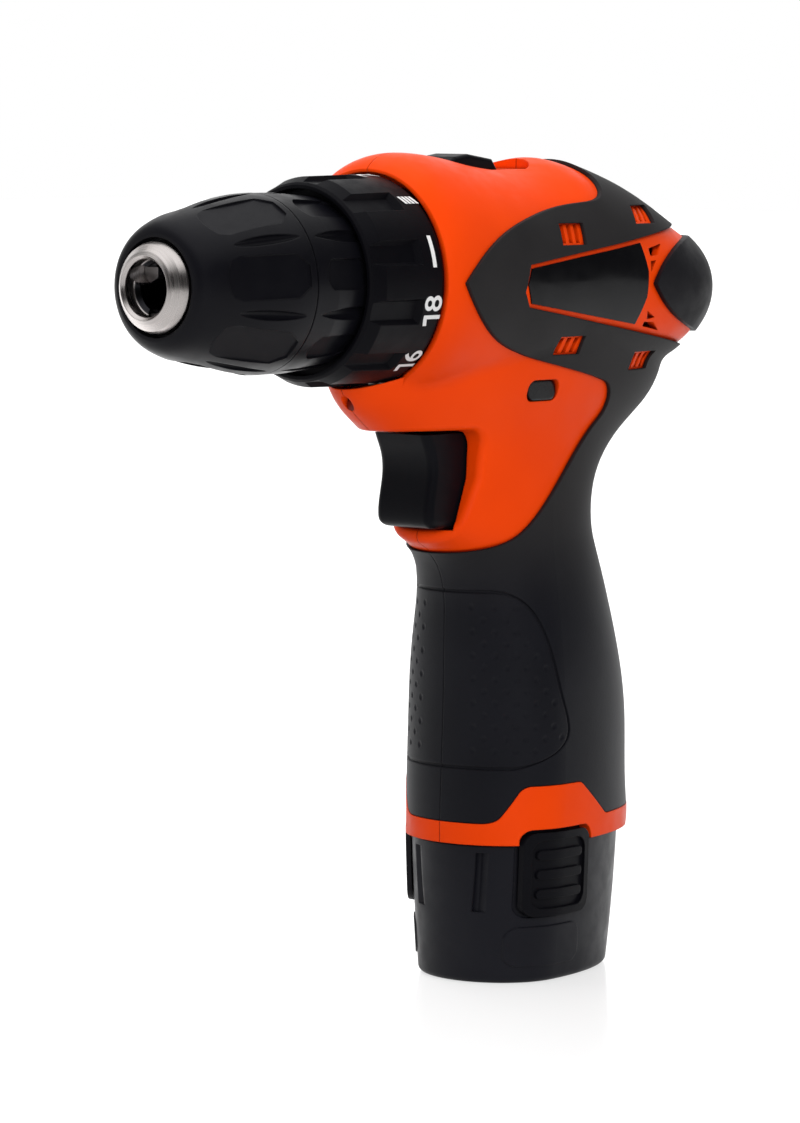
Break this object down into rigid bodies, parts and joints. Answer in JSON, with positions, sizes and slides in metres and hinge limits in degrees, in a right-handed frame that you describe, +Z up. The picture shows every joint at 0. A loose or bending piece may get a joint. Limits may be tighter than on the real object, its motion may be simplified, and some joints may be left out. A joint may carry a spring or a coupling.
{
  "type": "cordless drill driver",
  "caption": "Pistol grip drill driver with a keyless three jaw chuck, torque collar, trigger, speed selector and a battery that slides into the handle.",
  "frame": {"origin": "on the battery's flat foot, under the drill axis", "axes": "+Z up out of the foot, -X along the chuck towards its mouth, -Y the left side"},
  "size_m": [0.1778, 0.0548, 0.1938],
  "materials": {
    "orange_plastic": "satin moulded plastic",
    "grip_rubber": "soft grained rubber",
    "black_plastic": "satin moulded plastic",
    "charcoal_plastic": "fine matt plastic",
    "gloss_black": "glossy plate",
    "steel": "turned steel",
    "dark_steel": "hardened steel",
    "bronze": "sintered bronze",
    "copper": "copper",
    "magnet": "ferrite",
    "bright_alloy": "turned alloy",
    "white_plastic": "moulded plastic",
    "cell_wrap": "film wrapped cell",
    "lens": "clear lens",
    "board_green": "coated circuit board",
    "carbon": "pressed carbon"
  },
  "bodies": {
    "housing": {"housing_left": "orange_plastic", "housing_right": "orange_plastic", "grip_overmould_left": "grip_rubber", "grip_overmould_right": "grip_rubber", "rear_cap": "black_plastic", "label_plate_left": "gloss_black", "label_plate_right": "gloss_black", "back_pad": "grip_rubber", "housing_screws": "steel", "lamp": "lens", "switch_body": "black_plastic", "trigger_spring": "steel", "terminal_block": "black_plastic", "motor_can": "steel", "motor_magnets": "magnet", "motor_end_bell": "steel", "motor_brushes": "carbon", "motor_bushes": "bronze", "gearbox_case": "black_plastic", "gearbox_cover": "white_plastic", "ring_gear_second": "dark_steel", "spindle_bearing": "steel", "clutch_balls": "steel", "clutch_washer": "steel", "clutch_spring": "steel"},
    "trigger": {"trigger": "charcoal_plastic"},
    "direction_button": {"direction_button": "black_plastic"},
    "speed_selector": {"speed_selector": "black_plastic", "ring_gear_first": "white_plastic"},
    "rotor": {"armature": "steel", "windings": "copper", "commutator": "copper", "motor_shaft": "steel", "motor_pinion": "dark_steel"},
    "carrier_first": {"carrier_first": "dark_steel"},
    "planet_first_1": {"planet_first_1": "white_plastic"},
    "planet_first_2": {"planet_first_2": "white_plastic"},
    "planet_first_3": {"planet_first_3": "white_plastic"},
    "spindle": {"spindle": "steel", "chuck_body": "bright_alloy", "chuck_rear_sleeve": "black_plastic", "chuck_screw": "steel"},
    "planet_second_1": {"planet_second_1": "dark_steel"},
    "planet_second_2": {"planet_second_2": "dark_steel"},
    "planet_second_3": {"planet_second_3": "dark_steel"},
    "chuck_sleeve": {"chuck_front_sleeve": "black_plastic", "chuck_nut": "dark_steel"},
    "chuck_jaw_1": {"chuck_jaw_1": "dark_steel"},
    "chuck_jaw_2": {"chuck_jaw_2": "dark_steel"},
    "chuck_jaw_3": {"chuck_jaw_3": "dark_steel"},
    "clutch_collar": {"clutch_collar": "black_plastic"},
    "clutch_nut": {"clutch_nut": "black_plastic"},
    "battery": {"battery_case": "black_plastic", "battery_sleeve": "black_plastic", "battery_cells": "cell_wrap", "cell_straps": "copper", "battery_board": "board_green", "battery_contacts": "copper"},
    "latch_left": {"latch_left": "black_plastic"},
    "latch_right": {"latch_right": "black_plastic"}
  },
  "joints": [
    {"name": "trigger_pull", "type": "slide", "parent": "housing", "child": "trigger", "axis": [1, 0, 0], "range_m": [0, 0.006], "stiffness_N_per_m": 900, "springref_m": -0.004, "deforming": ["trigger_spring"]},
    {"name": "direction_slide", "type": "slide", "parent": "housing", "child": "direction_button", "axis": [0, 1, 0], "range_m": [-0.003, 0.003]},
    {"name": "speed_select", "type": "slide", "parent": "housing", "child": "speed_selector", "axis": [1, 0, 0], "range_m": [0, 0.005]},
    {"name": "chuck_spin", "type": "hinge", "parent": "housing", "child": "spindle", "pos_m": [0, 0, 0.165], "axis": [1, 0, 0], "continuous": true},
    {"name": "carrier_spin", "type": "hinge", "parent": "housing", "child": "carrier_first", "pos_m": [0, 0, 0.165], "axis": [1, 0, 0], "continuous": true},
    {"name": "rotor_spin", "type": "hinge", "parent": "housing", "child": "rotor", "pos_m": [0, 0, 0.165], "axis": [1, 0, 0], "continuous": true},
    {"name": "planet_second_1_spin", "type": "hinge", "parent": "spindle", "child": "planet_second_1", "pos_m": [0, 0.0108, 0.165], "axis": [1, 0, 0], "continuous": true},
    {"name": "planet_first_1_spin", "type": "hinge", "parent": "carrier_first", "child": "planet_first_1", "pos_m": [0, 0.0108, 0.165], "axis": [1, 0, 0], "continuous": true},
    {"name": "planet_second_2_spin", "type": "hinge", "parent": "spindle", "child": "planet_second_2", "pos_m": [0, -0.0054, 0.17435], "axis": [1, 0, 0], "continuous": true},
    {"name": "planet_first_2_spin", "type": "hinge", "parent": "carrier_first", "child": "planet_first_2", "pos_m": [0, -0.0054, 0.17435], "axis": [1, 0, 0], "continuous": true},
    {"name": "planet_second_3_spin", "type": "hinge", "parent": "spindle", "child": "planet_second_3", "pos_m": [0, -0.0054, 0.15565], "axis": [1, 0, 0], "continuous": true},
    {"name": "planet_first_3_spin", "type": "hinge", "parent": "carrier_first", "child": "planet_first_3", "pos_m": [0, -0.0054, 0.15565], "axis": [1, 0, 0], "continuous": true},
    {"name": "chuck_sleeve_turn", "type": "hinge", "parent": "spindle", "child": "chuck_sleeve", "pos_m": [0, 0, 0.165], "axis": [1, 0, 0], "range_deg": [0, 2160]},
    {"name": "chuck_jaw_1_slide", "type": "slide", "parent": "spindle", "child": "chuck_jaw_1", "axis": [-0.9511, 0.2676, -0.1545], "range_m": [0, 0.0126]},
    {"name": "chuck_jaw_2_slide", "type": "slide", "parent": "spindle", "child": "chuck_jaw_2", "axis": [-0.9511, 0, 0.309], "range_m": [0, 0.0126]},
    {"name": "chuck_jaw_3_slide", "type": "slide", "parent": "spindle", "child": "chuck_jaw_3", "axis": [-0.9511, -0.2676, -0.1545], "range_m": [0, 0.0126]},
    {"name": "clutch_collar_turn", "type": "hinge", "parent": "housing", "child": "clutch_collar", "pos_m": [0, 0, 0.165], "axis": [1, 0, 0], "range_deg": [0, 327]},
    {"name": "clutch_nut_slide", "type": "slide", "parent": "clutch_collar", "child": "clutch_nut", "axis": [1, 0, 0], "range_m": [0, 0.003], "deforming": ["clutch_spring"]},
    {"name": "battery_slide", "type": "slide", "parent": "housing", "child": "battery", "axis": [0, 0, -1], "range_m": [0, 0.05]},
    {"name": "latch_left_press", "type": "slide", "parent": "battery", "child": "latch_left", "axis": [0, 1, 0], "range_m": [0, 0.001], "stiffness_N_per_m": 2500, "springref_m": -0.0006},
    {"name": "latch_right_press", "type": "slide", "parent": "battery", "child": "latch_right", "axis": [0, -1, 0], "range_m": [0, 0.001], "stiffness_N_per_m": 2500, "springref_m": -0.0006}
  ],
  "couplings": [
    {"joint": "carrier_spin", "follows": "chuck_spin", "ratio": 4.5},
    {"joint": "rotor_spin", "follows": "chuck_spin", "ratio": 20.25},
    {"joint": "planet_second_1_spin", "follows": "chuck_spin", "ratio": -2.8},
    {"joint": "planet_first_1_spin", "follows": "chuck_spin", "ratio": -12.6},
    {"joint": "planet_second_2_spin", "follows": "chuck_spin", "ratio": -2.8},
    {"joint": "planet_first_2_spin", "follows": "chuck_spin", "ratio": -12.6},
    {"joint": "planet_second_3_spin", "follows": "chuck_spin", "ratio": -2.8},
    {"joint": "planet_first_3_spin", "follows": "chuck_spin", "ratio": -12.6},
    {"joint": "chuck_jaw_1_slide", "follows": "chuck_sleeve_turn", "m_per_rad": 0.00033423},
    {"joint": "chuck_jaw_2_slide", "follows": "chuck_sleeve_turn", "m_per_rad": 0.00033423},
    {"joint": "chuck_jaw_3_slide", "follows": "chuck_sleeve_turn", "m_per_rad": 0.00033423},
    {"joint": "clutch_nut_slide", "follows": "clutch_collar_turn", "m_per_rad": 0.00052565}
  ]
}
